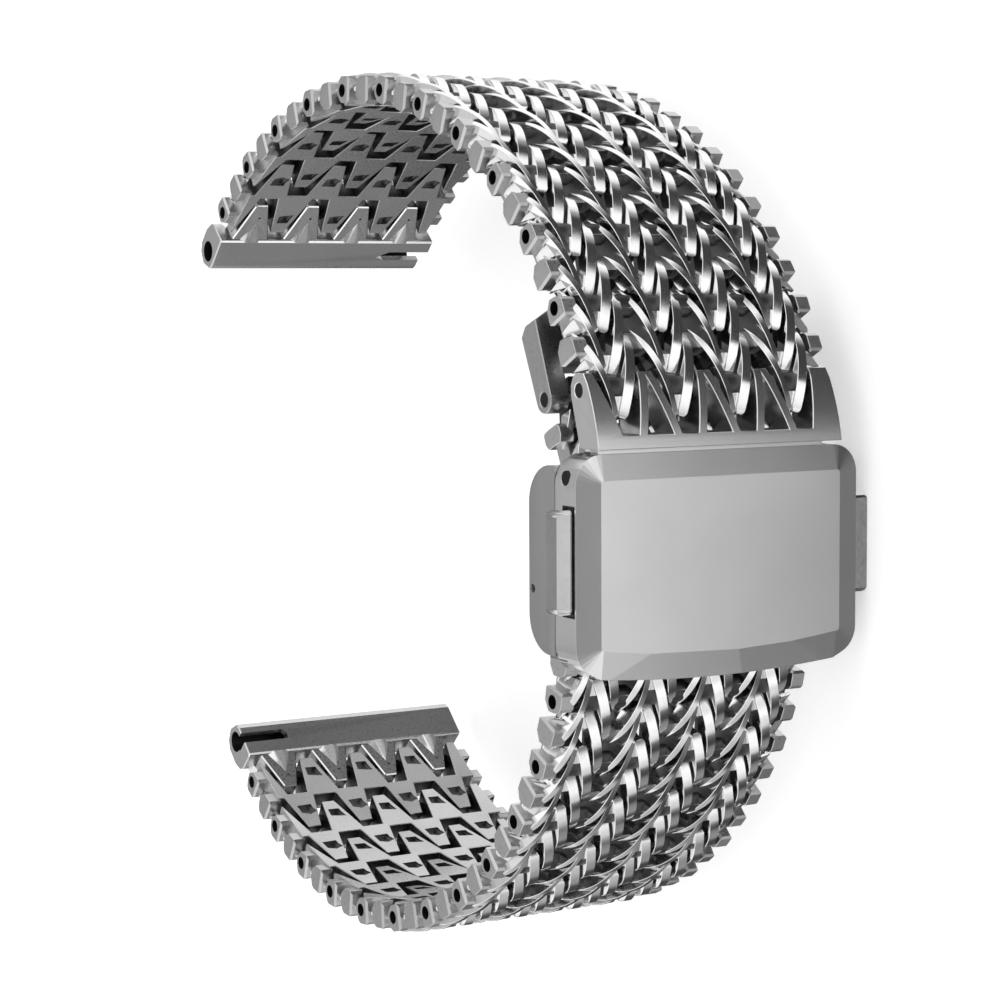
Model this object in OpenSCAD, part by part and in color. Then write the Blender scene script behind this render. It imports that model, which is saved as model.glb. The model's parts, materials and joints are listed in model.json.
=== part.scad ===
// Steel link bracelet with a push-button clasp, lying on one long edge: the hinge pins stand upright,
// +X runs from the watch case to the clasp, and +Y is the side of the upper strap half.

/* [Strap] */
// Width across the strap from edge stub to edge stub
strap_w = 21.8; // [21:0.1:23]
// Hinge spacing of the upper half's links
upper_pitch = 6.4; // [6.2:0.1:6.8]
// Hinge spacing of the lower half's links
lower_pitch = 5.6; // [5.5:0.1:5.9]
// Bend between neighbouring links as worn
link_bend = 10; // [9:0.5:11]
// Direction of the upper half where it leaves the comb link
upper_start = 116.5; // [115:0.5:118]
// Direction of the lower half where it leaves the clasp
lower_start = -114.4; // [-116:0.1:-113]
// First lower hinge outside the clasp, across from the comb link's hinge
lower_hinge_x = -3.3; // [-3.4:0.1:-3.2]
// First lower hinge outside the clasp, along the clasp
lower_hinge_y = -22.5; // [-22.7:0.1:-22.3]

/* [Links] */
// Border between the left edge and the first chevron
left_border = 0.41; // [0.38:0.01:0.45]
// Border between the last chevron and the right edge
right_border = 1.07; // [1:0.01:1.1]
// Height of the chevron arms over the hinge line
arm_top = 1.45; // [1.3:0.05:1.6]
// Width of the broad arm of a chevron
broad_arm_w = 0.78; // [0.6:0.02:0.8]
// Width of the slim arm of a chevron
slim_arm_w = 0.55; // [0.4:0.01:0.6]
// Depth of the inner face below the hinge line
inner_depth = 1.2; // [1.1:0.05:1.3]
// Height of the link body under the arms, over the hinge line
body_top = 0.3; // [0.2:0.05:0.4]
// Radius of the hinge pins
pin_r = 0.5; // [0.4:0.01:0.55]
// Radial clearance of the pins in their bores
pin_gap = 0.03; // [0.02:0.01:0.05]
// Radius of the knuckles round the pins
knuckle_r = 1.0; // [0.9:0.05:1.05]
// Half height of the stubs on the strap's edges
stub_r = 1.19; // [1.1:0.01:1.25]
// Length of the stubs along the strap
stub_len = 1.5; // [1.3:0.05:1.6]
// How far the stubs stand out of the link body
stub_out = 0.9; // [0.7:0.05:1]
// Half width of a tooth at its tip
tooth_tip = 0.62; // [0.55:0.01:0.66]
// Widening of a tooth on each side along the strap
tooth_flare = 0.22; // [0.2:0.01:0.23]

/* [End links] */
// Radius of the spring-bar bore
spring_bar_r = 0.93; // [0.9:0.01:1]
// Radius of the bar round the spring-bar bore
end_bar_r = 1.65; // [1.6:0.05:1.8]
// Length of the release slot behind the spring-bar bore
slot_len = 5; // [4:0.1:6]
// Distance from the strap's edge to the release slot
slot_inset = 2.5; // [2:0.1:3]
// Distance from the spring-bar bore to the first hinge, upper half
upper_end_len = 4.64; // [4.5:0.02:4.8]
// Distance from the spring-bar bore to the first hinge, lower half
lower_end_len = 4.5; // [4.4:0.02:4.7]

/* [Clasp] */
// Gap between the strap's edges and the clasp's side walls
clasp_gap = 0.1; // [0.08:0.01:0.15]
// Height of the clasp's front cover along the strap
cover_h = 16.35; // [16.2:0.05:16.5]
// Upper edge of the cover, below the comb link's hinge
cover_top = -4.4; // [-4.5:0.05:-4.35]
// Front face of the cover, in front of the comb link's hinge
face_x = 2.6; // [2.55:0.05:2.8]
// Parting line between the cover and the rear frame
parting_x = -0.5; // [-0.55:0.05:-0.45]
// Rear of the rear frame
rear_x = -4; // [-4.2:0.05:-3.9]
// Width of the bevels round the face
bevel_w = 1.85; // [1.6:0.05:1.95]
// Depth of the bevels round the face
bevel_d = 0.4; // [0.3:0.05:0.5]
// Radius of the cover's corners
corner_r = 2.1; // [2:0.05:2.2]
// Bulge of the cover's lower edge
edge_bulge = 0.7; // [0.4:0.05:0.8]
// Thickness of the clasp's side walls
wall = 1.35; // [1.3:0.01:1.37]
// Hinge of the comb link in the cover, in front of the strap's last hinge
comb_pin_x = 0.8; // [0.75:0.01:0.85]
// Hinge of the comb link in the cover, below the strap's last hinge
comb_pin_y = -6.05; // [-6.1:0.01:-6]
// Length of a push button along the clasp
button_len = 7.35; // [7:0.05:7.5]
// Thickness of a push button
button_t = 1.35; // [1.3:0.01:1.4]
// How far a push button stands out of the side wall
button_out = 1.35; // [1.1:0.05:1.4]
// Travel of a push button
button_travel = 0.5; // [0.4:0.05:0.5]
// Middle of the push buttons along the clasp
button_y = -11.9; // [-12:0.05:-11.8]

/* [Reference point] */
// Middle of the bracelet from the comb link's hinge, towards the clasp
centre_x = -30.37; // [-31:0.01:-29]
// Middle of the bracelet from the comb link's hinge, towards the upper half
centre_y = -10.37; // [-11:0.01:-9]

/* [Hidden] */
$fn = 48;
steel = [0.72, 0.73, 0.74];
satin = [0.78, 0.79, 0.8];
dark = [0.45, 0.46, 0.47];
eps = 0.01;
bore_r = pin_r + pin_gap;
clasp_w = strap_w + 2 * (clasp_gap + wall);
// the lower button's outer face is the lowest point
clasp_z = button_out;
strap_z = clasp_z + (clasp_w - strap_w) / 2;
mid_z = clasp_z + clasp_w / 2;
columns = 4;
column_pitch = (strap_w - left_border - right_border) / columns;
first_column = left_border + column_pitch / 2;
// links in each half, without the end link, and how many of the lower half's are outside the clasp
upper_links = 11;
lower_links = 15;
free_lower_links = 11;
last_bend = 8.4;
// lean and length of the tail block from its hinge
tail_lean = 21.3;
tail_len = 6.45;
pin_inset = 0.6;
button_x = 0.48;
spring_start = clasp_z + wall + 0.5;
spring_end = spring_start + 2.5;
hook_low = -1.8;
hook_y = -12.9;
magnet_y = -18;
back_pin_x = rear_x + 0.47;
back_pin_y = -14.2;
back_pin_r = 0.28;
function apex(k) = first_column + column_pitch * k;
function crown(k) = apex(k) - column_pitch / 2;
// places along a link, as shares of its pitch
crown_tip = -0.2;
crown_base = 0.555;
apex_base = 0.63;
apex_tip = 1.3;
arm_start = -0.195;
arm_end = 0.867;
function tooth_half(run) = tooth_tip + tooth_flare * run;
// hinge points from the comb link's hinge outwards
function upper_dir(n) = upper_start + link_bend * n;
function upper_hinge(n) = n == 0
    ? [0, 0]
    : upper_hinge(n - 1) + upper_pitch * [cos(upper_dir(n - 1)), sin(upper_dir(n - 1))];
// hinge points of the lower half: n counts outwards from the first hinge outside the clasp
function lower_dir(n) = lower_start - link_bend * n;
function lower_hinge(n) = n == 0
    ? [lower_hinge_x, lower_hinge_y]
    : n > 0
        ? lower_hinge(n - 1) + lower_pitch * [cos(lower_dir(n - 1)), sin(lower_dir(n - 1))]
        : lower_hinge(n + 1) - lower_pitch * [cos(lower_dir(n)), sin(lower_dir(n))];

// hinge of the tail block: the last link bends further than the others
function tail_hinge() = let(n = free_lower_links + 1 - lower_links, dir = lower_dir(n - 1) - 180 + last_bend)
    lower_hinge(n) + lower_pitch * [cos(dir), sin(dir)];

// the part's frame, from the comb link's hinge
module place() {
    translate([-centre_x, -centre_y, 0]) children();
}

// a rod along the hinge direction between two distances from the strap's left edge
module rod(r, from, to) {
    translate([0, 0, strap_w - to]) cylinder(r = r, h = to - from);
}

// a flat shape drawn as [along the strap, from the left edge], standing between two heights
module slab(low, high) {
    translate([0, high, strap_w]) rotate([90, 0, 0]) linear_extrude(high - low) mirror([0, 1, 0]) children();
}

// one arched arm of a chevron, from its pointed end to its rounded end
module arm(from, to, w, radius) {
    run = norm(to - from);
    taper = 0.28 * run;
    middle = (from + to) / 2;
    translate([middle[0], 0, strap_w - middle[1]]) rotate([0, atan2(to[1] - from[1], to[0] - from[0]), 0])
        intersection() {
            translate([0, arm_top - radius, -w]) cylinder(r = radius, h = 2 * w, $fn = 96);
            translate([0, arm_top + eps, 0]) rotate([90, 0, 0]) linear_extrude(arm_top - body_top + 0.1)
                polygon([
                    [-run / 2, -w * 0.18],
                    [-run / 2 + taper, -w / 2],
                    [run / 2 - w * 0.4, -w / 2],
                    [run / 2, -w * 0.2],
                    [run / 2, w * 0.2],
                    [run / 2 - w * 0.4, w / 2],
                    [-run / 2 + taper, w / 2],
                    [-run / 2, w * 0.18]
                ]);
        }
}

// one row of chevrons across the strap
module chevron_row(start, pitch) {
    from = start + arm_start * pitch;
    to = start + arm_end * pitch;
    for (k = [0 : columns - 1]) {
        arm([from, crown(k) + 0.1], [to, apex(k) - 0.5], slim_arm_w, pitch);
        arm([from, crown(k + 1) - 0.42], [to, apex(k) + 0.06], broad_arm_w, pitch);
    }
}

// outline of the teeth that reach back over the hinge towards the watch
function crown_teeth(pitch) = let(tip = crown_tip * pitch, base = crown_base * pitch,
        wide = tooth_half(base - tip)) concat(
    [[tip, stub_out], [tip, crown(0) + tooth_tip], [base, crown(0) + wide]],
    [for (k = [1 : columns - 1]) each [
        [base, crown(k) - wide],
        [tip, crown(k) - tooth_tip],
        [tip, crown(k) + tooth_tip],
        [base, crown(k) + wide]
    ]],
    [[base, crown(columns) - wide], [tip, crown(columns) - tooth_tip], [tip, strap_w - stub_out]]
);

// outline of the teeth that reach forward over the next hinge, from the right edge to the left
function apex_teeth(base, tip) = let(wide = tooth_half(tip - base)) concat(
    [[base, strap_w - stub_out]],
    [for (k = [columns - 1 : -1 : 0]) each [
        [base, apex(k) + wide],
        [tip, apex(k) + tooth_tip],
        [tip, apex(k) - tooth_tip],
        [base, apex(k) - wide]
    ]],
    [[base, stub_out]]
);

// knuckles of the teeth over a link's first hinge, clear of the slim arms beside them
module crown_knuckles(pitch) {
    half = tooth_half(-crown_tip * pitch) - 0.2;
    for (k = [1 : columns - 1]) rod(knuckle_r, crown(k) - half, crown(k) + half);
}

// knuckles of the teeth over a link's second hinge, which is the current origin
module apex_knuckles(pitch) {
    half = tooth_half((apex_tip - 1) * pitch) - 0.12;
    for (k = [0 : columns - 1]) rod(knuckle_r, apex(k) - half, apex(k) + half);
}

// a pair of stubs, one on each edge of the strap
module edge_stubs() {
    root = 0.2;
    for (from = [0, strap_w - stub_out - root]) intersection() {
        rod(stub_r, from, from + stub_out + root);
        translate([-stub_len / 2, -stub_r, 0]) cube([stub_len, 2 * stub_r, strap_w]);
    }
}

// pocket in the inner face: a shallow mouth with a deep well
module window(middle, mouth, well) {
    width = 1.4;
    slab(-inner_depth - eps, -inner_depth + 0.45)
        translate([mouth[0], middle - width / 2]) square([mouth[1] - mouth[0], width]);
    slab(-inner_depth, -0.1)
        translate([well[0], middle - width / 2 + 0.1]) square([well[1] - well[0], width - 0.2]);
}

module crown_windows() {
    for (k = [1 : columns - 1]) window(crown(k), [0.45, 2], [0.85, 1.9]);
}

module apex_windows() {
    for (k = [0 : columns - 1]) window(apex(k), [-1.5, 0.87], [-1.4, -0.85]);
}

module hinge_pin() {
    rod(pin_r, pin_inset, strap_w - pin_inset);
}

// the two rows of chevrons of a link
module chevrons(pitch) {
    chevron_row(0, pitch);
    chevron_row(pitch / 2, pitch);
}

// one link, from its first hinge at the origin along +X, outer face towards +Y
module link(pitch, is_last = false) {
    color(steel) difference() {
        union() {
            slab(-inner_depth, body_top)
                polygon(concat(crown_teeth(pitch), apex_teeth(apex_base * pitch, apex_tip * pitch)));
            crown_knuckles(pitch);
            translate([pitch, 0, 0]) apex_knuckles(pitch);
            edge_stubs();
            translate([pitch / 2, 0, 0]) edge_stubs();
            if (is_last) intersection() {
                chevrons(pitch);
                // the arms stop short of the tail block's knuckle
                slab(0, 2) translate([-pitch, 0]) square([2 * pitch - knuckle_r - 0.15, strap_w]);
            } else chevrons(pitch);
        }
        rod(bore_r, -1, strap_w + 1);
        translate([pitch, 0, 0]) rod(bore_r, -1, strap_w + 1);
        crown_windows();
        translate([pitch, 0, 0]) apex_windows();
    }
    color(dark) hinge_pin();
}

// end link: a bar with the spring-bar bore at the origin, teeth over the hinge at +X
module end_link(length, pitch, slot_from) {
    neck = 2.3;
    tip = length + (apex_tip - 1) * pitch;
    color(steel) difference() {
        union() {
            rod(end_bar_r, 0, strap_w);
            slab(-1.45, 1.3) square([neck, strap_w]);
            slab(-inner_depth, body_top) polygon(concat(
                [[neck - 0.5, stub_out], [neck - 0.5, strap_w - stub_out]],
                apex_teeth(neck, tip)
            ));
            translate([length, 0, 0]) apex_knuckles(pitch);
            intersection() {
                translate([length - pitch / 2, 0, 0]) chevron_row(0, pitch);
                slab(0, 2) square([length + pitch, strap_w]);
            }
        }
        rod(spring_bar_r, -1, strap_w + 1);
        translate([length, 0, 0]) rod(bore_r, -1, strap_w + 1);
        // room for the first link's teeth and stubs
        for (k = [0 : columns])
            slab(-2, 2) translate([neck, crown(k) - 1.25]) square([2, 2.5]);
        // release slot of the spring bar
        slab(-0.35, 0.35) translate([-2, slot_from]) square([1.6, slot_len]);
        for (k = [0 : columns - 1])
            slab(-inner_depth - eps, -inner_depth + 0.6) translate([length + 0.75, apex(k)]) circle(r = 0.18);
    }
}

module upper_end() {
    n = upper_links;
    place() translate([upper_hinge(n)[0], upper_hinge(n)[1], strap_z]) rotate(upper_dir(n) - 180)
        translate([-upper_end_len, 0, 0])
            end_link(upper_end_len, upper_pitch, strap_w - slot_inset - slot_len);
}

// upper links are numbered from the watch towards the clasp
module upper_link(number) {
    n = upper_links + 1 - number;
    place() translate([upper_hinge(n)[0], upper_hinge(n)[1], strap_z]) rotate(upper_dir(n - 1) - 180)
        link(upper_pitch);
}

// lower links are numbered from the watch towards the clasp and on through it
module lower_link(number) {
    n = free_lower_links + 1 - number;
    is_last = number == lower_links;
    turn = is_last ? last_bend : 0;
    place() translate([lower_hinge(n)[0], lower_hinge(n)[1], strap_z]) rotate(lower_dir(n - 1) - 180 + turn)
        mirror([0, 1, 0]) link(lower_pitch, is_last);
}

module lower_end() {
    n = free_lower_links;
    place() translate([lower_hinge(n)[0], lower_hinge(n)[1], strap_z]) rotate(lower_dir(n) - 180)
        mirror([0, 1, 0]) translate([-lower_end_len, 0, 0]) end_link(lower_end_len, lower_pitch, slot_inset);
}

// bar at the end of the lower half, behind the upper half, leaning away from it, with a magnet inside
module tail_place() {
    pivot = tail_hinge();
    place() translate([pivot[0], pivot[1], strap_z]) rotate(tail_lean) children();
}

module tail_block() {
    // room for the last link's teeth: half width, and distance from the hinge
    notch = 1.35;
    notch_end = 2.3;
    corner_z = 1.2;
    corner_y = 0.7;
    tail_place() {
        color(steel) difference() {
            union() {
                linear_extrude(strap_w) polygon([
                    [-knuckle_r, 0],
                    [knuckle_r, 0],
                    [knuckle_r, tail_len],
                    [0.4, tail_len],
                    [-knuckle_r - 0.25, tail_len - 1.25]
                ]);
                rod(knuckle_r, 0, strap_w);
            }
            rod(bore_r, -1, strap_w + 1);
            for (k = [0 : columns - 1])
                block([-2, -2, strap_w - apex(k) - notch], [2, notch_end, strap_w - apex(k) + notch]);
            // cut top corners
            for (end = [0, 1]) translate([-2, tail_len, end * strap_w]) mirror([0, 0, end])
                rotate([90, 0, 90]) linear_extrude(4)
                    polygon([[eps, -eps], [-corner_y, -eps], [0, corner_z], [eps, corner_z]]);
            tail_magnet_bar(pin_gap, -1);
        }
        color(dark) hinge_pin();
    }
}

// bar magnet, pushed in from the right end of the tail block
module tail_magnet_bar(gap, from) {
    half = 0.65 + gap;
    block([-half, 3.2 - gap, from], [half, 5 + gap, strap_w - 3.8 + gap]);
}

module tail_magnet() {
    tail_place() color(dark) tail_magnet_bar(0, 0.5);
}

// comb link between the upper half's last hinge and the cover
module comb_link() {
    bar_w = 0.7;
    left_foot = -1.36;
    right_foot = 1.6;
    left_head = -0.75;
    right_head = 0.5;
    foot_y = -3.15;
    head_y = 1.25;
    inset = 0.2;
    place() translate([0, 0, strap_z]) {
        color(satin) difference() {
            union() {
                translate([0, 0, inset]) linear_extrude(strap_w - 2 * inset) polygon([
                    [-0.7, head_y],
                    [0.6, head_y],
                    [1.15, 0.5],
                    [2.55, -4.1],
                    [0.17, -4.1],
                    [-1, -0.4]
                ]);
                // tongue inside the cover's slot
                translate([0, 0, 1]) linear_extrude(strap_w - 2) polygon([
                    [0.3, -3.9],
                    [1.25, -3.9],
                    [1.5, comb_pin_y],
                    [0.1, comb_pin_y]
                ]);
                translate([comb_pin_x, comb_pin_y, 1]) cylinder(r = knuckle_r, h = strap_w - 2);
            }
            rod(bore_r, -1, strap_w + 1);
            translate([comb_pin_x, comb_pin_y, 0]) rod(bore_r, -1, strap_w + 1);
            // cells between the bars, open to the last link's teeth
            for (k = [0 : columns - 1]) across() polygon([
                [head_y + 1, crown(k) + right_head],
                [head_y, crown(k) + right_head],
                [foot_y, crown(k) + right_foot + bar_w / 2],
                [foot_y, crown(k + 1) + left_foot - bar_w / 2],
                [head_y, crown(k + 1) + left_head],
                [head_y + 1, crown(k + 1) + left_head]
            ]);
            // cells inside the bars
            for (k = [1 : columns - 1]) across() polygon([
                [0.9, crown(k) - 0.12],
                [foot_y, crown(k) + right_foot - bar_w / 2],
                [foot_y, crown(k) + left_foot + bar_w / 2]
            ]);
        }
        color(dark) hinge_pin();
    }
}

// a shape drawn as [height, from the left edge], cut right through from front to rear
module across() {
    translate([-5, 0, strap_w]) rotate([90, 0, 90]) linear_extrude(12) mirror([0, 1, 0]) children();
}

// flat outline with rounded corners, centred
module rounded_outline(w, h, r) {
    square([w - 2 * r, h], center = true);
    square([w, h - 2 * r], center = true);
    for (x = [-1, 1], y = [-1, 1]) translate([x * (w / 2 - r), y * (h / 2 - r)]) circle(r = r);
}

// one outline of the cover, inset from its edges, between two depths
module cover_layer(inset, rear, front) {
    bottom = cover_top - cover_h + edge_bulge + inset;
    top = cover_top - inset;
    r = corner_r - inset;
    half = clasp_w / 2 - inset;
    sweep_r = (half * half + edge_bulge * edge_bulge) / (2 * edge_bulge);
    translate([rear, 0, mid_z]) rotate([90, 0, 90]) linear_extrude(front - rear) {
        for (y = [bottom + r, top - r], side = [-1, 1])
            translate([y, side * (half - r)]) circle(r = r, $fn = 32);
        intersection() {
            translate([bottom - edge_bulge + sweep_r, 0]) circle(r = sweep_r, $fn = 360);
            translate([bottom - edge_bulge, r - half]) square([r, 2 * (half - r)]);
        }
    }
}

// bevelled block of the cover, before it is hollowed out
module cover_block() {
    hull() {
        cover_layer(0, parting_x, face_x - bevel_d);
        cover_layer(bevel_w, parting_x, face_x);
    }
}

// a box in the clasp between two corners
module block(low, high) {
    translate(low) cube(high - low);
}

// parts of the lower side of the clasp, and their mirror images on the upper side
module both_sides() {
    children();
    translate([0, 0, 2 * mid_z]) mirror([0, 0, 1]) children();
}

module front_cover() {
    bottom = cover_top - cover_h;
    inner_x = face_x - 0.65;
    half = button_len / 2 + 0.25;
    inner_z = clasp_z + wall;
    open_z = inner_z + 1;
    place() color(satin) {
        difference() {
            cover_block();
            block([parting_x - 1, bottom + 1, inner_z], [inner_x, cover_top - 1, 2 * mid_z - inner_z]);
            // slot for the comb link's tongue
            block(
                [parting_x - 1, cover_top - 1.5, strap_z + 0.6],
                [inner_x, cover_top + 1, strap_z + strap_w - 0.6]
            );
            translate([comb_pin_x, comb_pin_y, 0]) cylinder(r = bore_r, h = 2 * mid_z);
            both_sides() {
                // opening of the push button, and the gap its hook passes through
                block(
                    [button_x - 0.05, button_y - half, 0],
                    [button_x + button_t + 0.2, button_y + half, open_z]
                );
                block([parting_x - 1, hook_y - 0.6, clasp_z + 0.6], [button_x + 0.2, hook_y + 0.6, open_z]);
                magnet_block([parting_x - 1, 0.6], pin_gap);
            }
        }
        // ribs that the button springs push against
        both_sides()
            block([0.5, button_y - 3.4, spring_end], [inner_x + eps, button_y + 3.4, spring_end + 0.8]);
    }
}

// bar magnet in a side wall of the clasp
module magnet_block(x_range, gap) {
    middle = clasp_z + wall / 2;
    half_y = 1 + gap;
    half_z = 0.4 + gap;
    block(
        [x_range[0] - gap, magnet_y - half_y, middle - half_z],
        [x_range[1] + gap, magnet_y + half_y, middle + half_z]
    );
}

module cover_magnets() {
    place() color(dark) both_sides() magnet_block([parting_x + 0.03, 0.6], 0);
}

module frame_magnets() {
    place() color(dark) both_sides() magnet_block([parting_x - 1.2, parting_x - 0.08], 0);
}

module comb_hinge_pin() {
    place() color(dark) translate([comb_pin_x, comb_pin_y, clasp_z + 0.5])
        cylinder(r = pin_r, h = clasp_w - 1);
}

// side wall of the rear frame, seen along the hinge pins
module frame_outline() {
    top = cover_top - 0.85;
    bottom = cover_top - cover_h + 2;
    front = parting_x - 0.05;
    r = 2.8;
    intersection() {
        translate([rear_x + 5, (top + bottom) / 2]) rounded_outline(10, top - bottom, r);
        translate([rear_x - 1, bottom - 1]) square([front - rear_x + 1, top - bottom + 2]);
    }
}

// back plate, held between the side walls
module frame_back_plate() {
    inner = clasp_z + wall;
    // the plate ends clear of the strap, where that leaves the clasp
    bottom = lower_hinge_y + 5.2;
    top = cover_top - 3;
    boss = 1.2;
    place() color(satin) difference() {
        union() {
            block([rear_x, bottom, inner], [rear_x + 0.65, top, 2 * mid_z - inner]);
            both_sides()
                block([rear_x, back_pin_y - 0.8, inner], [rear_x + 0.9, back_pin_y + 0.8, inner + boss]);
        }
        both_sides() translate([back_pin_x, back_pin_y, 0])
            cylinder(r = back_pin_r + pin_gap, h = inner + boss - 0.2);
    }
}

module back_plate_pins() {
    place() color(dark) both_sides() translate([back_pin_x, back_pin_y, clasp_z + 0.3])
        cylinder(r = back_pin_r, h = wall + 0.6);
}

module rear_frame() {
    tooth = 0.45;
    front = parting_x - 0.05;
    open_z = clasp_z + wall + 1;
    place() color(steel) both_sides() {
        difference() {
            translate([0, 0, clasp_z]) linear_extrude(wall) frame_outline();
            translate([back_pin_x, back_pin_y, 0]) cylinder(r = back_pin_r + pin_gap, h = open_z);
            // pocket of the latch hook, undercut behind a ledge
            block([hook_low - 0.2, hook_y - 0.6, clasp_z + 0.68], [front + 1, hook_y + 0.6, open_z]);
            block([hook_low - 0.2, hook_y - 0.6, clasp_z + 0.25], [hook_low + 0.6, hook_y + 0.6, open_z]);
            magnet_block([parting_x - 1.2, front + 1], pin_gap);
        }
        // teeth that sit between the strap's edge stubs
        for (y = [-10.1, -15.75])
            block([-2.4, y - 0.45, clasp_z + wall - eps], [-1.1, y + 0.45, clasp_z + wall + tooth]);
    }
}

module push_button() {
    inner = clasp_z + wall;
    color(steel) {
        intersection() {
            linear_extrude(inner + 0.3) translate([button_x + button_t / 2, button_y])
                rounded_outline(button_t, button_len, 0.3);
            // rounded outer edges
            translate([-5, button_y, inner]) rotate([90, 0, 90]) linear_extrude(10)
                rounded_outline(button_len, 2 * inner, 0.45);
        }
        // flange that keeps it in the cover
        block(
            [button_x, button_y - 4.4, inner + 0.05],
            [button_x + button_t - 0.05, button_y + 4.4, spring_start]
        );
        // hook that latches the cover to the rear frame
        block([hook_low, hook_y - 0.45, clasp_z + 0.75], [button_x + 0.1, hook_y + 0.45, inner - 0.15]);
        block([hook_low, hook_y - 0.45, clasp_z + 0.35], [hook_low + 0.4, hook_y + 0.45, clasp_z + 1]);
    }
}

module button_springs() {
    turns = 7;
    step = (spring_end - spring_start) / turns;
    outer = 0.5;
    inner = 0.28;
    color(dark) for (side = [-1, 1]) translate([1.15, button_y + side * 2.2, spring_start]) rotate_extrude()
        polygon(concat(
            [[inner, 0]],
            [for (i = [0 : turns - 1]) each [[outer - 0.1, step * i], [outer, step * (i + 0.5)]]],
            [[outer - 0.1, step * turns], [inner, step * turns]]
        ));
}

module upper_side() {
    translate([0, 0, 2 * mid_z]) mirror([0, 0, 1]) children();
}

upper_end();  // upper_end_link
upper_link(1);  // upper_link_01
upper_link(2);  // upper_link_02
upper_link(3);  // upper_link_03
upper_link(4);  // upper_link_04
upper_link(5);  // upper_link_05
upper_link(6);  // upper_link_06
upper_link(7);  // upper_link_07
upper_link(8);  // upper_link_08
upper_link(9);  // upper_link_09
upper_link(10);  // upper_link_10
upper_link(11);  // upper_link_11
comb_link();
lower_end();  // lower_end_link
lower_link(1);  // lower_link_01
lower_link(2);  // lower_link_02
lower_link(3);  // lower_link_03
lower_link(4);  // lower_link_04
lower_link(5);  // lower_link_05
lower_link(6);  // lower_link_06
lower_link(7);  // lower_link_07
lower_link(8);  // lower_link_08
lower_link(9);  // lower_link_09
lower_link(10);  // lower_link_10
lower_link(11);  // lower_link_11
lower_link(12);  // lower_link_12
lower_link(13);  // lower_link_13
lower_link(14);  // lower_link_14
lower_link(15);  // lower_link_15
tail_block();
tail_magnet();
front_cover();
comb_hinge_pin();
rear_frame();
frame_back_plate();
back_plate_pins();
place() upper_side() push_button();  // left_push_button
place() push_button();  // right_push_button
place() upper_side() button_springs();  // left_button_springs
place() button_springs();  // right_button_springs
cover_magnets();
frame_magnets();
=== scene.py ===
import json
import math
import bpy
import bmesh
from mathutils import Matrix, Vector


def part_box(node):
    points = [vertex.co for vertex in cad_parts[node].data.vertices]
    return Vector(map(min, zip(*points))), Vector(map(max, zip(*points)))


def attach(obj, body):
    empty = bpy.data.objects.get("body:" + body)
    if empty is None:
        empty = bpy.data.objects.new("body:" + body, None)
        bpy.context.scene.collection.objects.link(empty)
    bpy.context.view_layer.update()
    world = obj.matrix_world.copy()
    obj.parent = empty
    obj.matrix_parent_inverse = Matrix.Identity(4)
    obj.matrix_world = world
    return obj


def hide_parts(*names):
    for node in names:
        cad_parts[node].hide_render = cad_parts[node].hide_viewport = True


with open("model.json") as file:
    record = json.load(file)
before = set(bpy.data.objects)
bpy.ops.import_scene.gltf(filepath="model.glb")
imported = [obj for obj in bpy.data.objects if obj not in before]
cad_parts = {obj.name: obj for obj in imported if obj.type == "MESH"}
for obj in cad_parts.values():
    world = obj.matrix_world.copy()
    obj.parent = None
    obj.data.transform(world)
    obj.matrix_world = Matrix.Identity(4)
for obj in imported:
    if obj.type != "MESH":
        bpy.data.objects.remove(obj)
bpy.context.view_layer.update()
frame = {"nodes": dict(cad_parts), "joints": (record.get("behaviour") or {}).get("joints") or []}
nodes = frame["nodes"]
mm = 0.001
print("frame loaded:", len(nodes), "nodes")

# camera of the photograph, measured in the strap's own frame
viewpoint = {
    "place": (181.20, 17.465, 120.97),
    "right": (0.5132993, -0.0053674, -0.8581929),
    "up": (-0.0678078, 0.9966006, -0.0467901),
    "back": (0.8555267, 0.0822095, 0.5111905),
    "lens": 91.88,
}


def makeCamera(look):
    data = bpy.data.cameras.new("studioCamera")
    data.lens = look["lens"]
    data.sensor_width = 36
    data.clip_start = 0.01
    data.clip_end = 10
    camera = bpy.data.objects.new("studioCamera", data)
    bpy.context.scene.collection.objects.link(camera)
    columns = [look["right"], look["up"], look["back"], [value * mm for value in look["place"]]]
    camera.matrix_world = Matrix([[column[row] for column in columns] for row in range(3)] + [[0, 0, 0, 1]])
    bpy.context.scene.camera = camera


makeCamera(viewpoint)
bpy.context.scene.view_settings.view_transform = "Standard"


def link(tree, start, startSocket, end, endSocket):
    tree.links.new(start.outputs[startSocket], end.inputs[endSocket])


def node(tree, kind, **settings):
    made = tree.nodes.new(kind)
    for key, value in settings.items():
        if hasattr(made, key):
            setattr(made, key, value)
        else:
            made.inputs[key].default_value = value
    return made


def maths(tree, operation, first, second=None):
    made = tree.nodes.new("ShaderNodeMath")
    made.operation = operation
    for index, value in enumerate((first, second)):
        if value is None:
            continue
        if isinstance(value, (int, float)):
            made.inputs[index].default_value = value
        else:
            tree.links.new(value, made.inputs[index])
    return made.outputs[0]


def ramp(tree, source, stops, smooth="EASE"):
    made = tree.nodes.new("ShaderNodeValToRGB")
    made.color_ramp.interpolation = smooth
    ends = made.color_ramp.elements
    for index, (place, value) in enumerate(stops):
        stop = ends[index] if index < 2 else ends.new(place)
        stop.position = place
        stop.color = (value, value, value, 1)
    tree.links.new(source, made.inputs[0])
    return made.outputs[0]


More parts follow.
